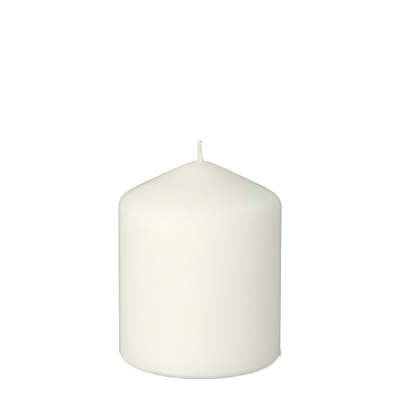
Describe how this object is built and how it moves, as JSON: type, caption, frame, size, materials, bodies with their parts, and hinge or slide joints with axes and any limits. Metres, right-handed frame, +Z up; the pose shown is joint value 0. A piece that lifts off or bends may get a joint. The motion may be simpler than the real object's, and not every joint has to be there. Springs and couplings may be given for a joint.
{
  "type": "pillar candle",
  "caption": "Squat ivory pillar candle with a blunt conical top, rounded shoulder and foot, and a short braided wick.",
  "frame": {"origin": "middle of the flat foot", "axes": "+Z up along the wick; +X to the right and +Y away, as the picture looks at the candle"},
  "size_m": [0.08, 0.08, 0.111],
  "materials": {
    "wax": "satin",
    "cotton": "matte"
  },
  "bodies": {
    "root": {"wax_body": "wax", "wick": "cotton"}
  },
  "joints": []
}
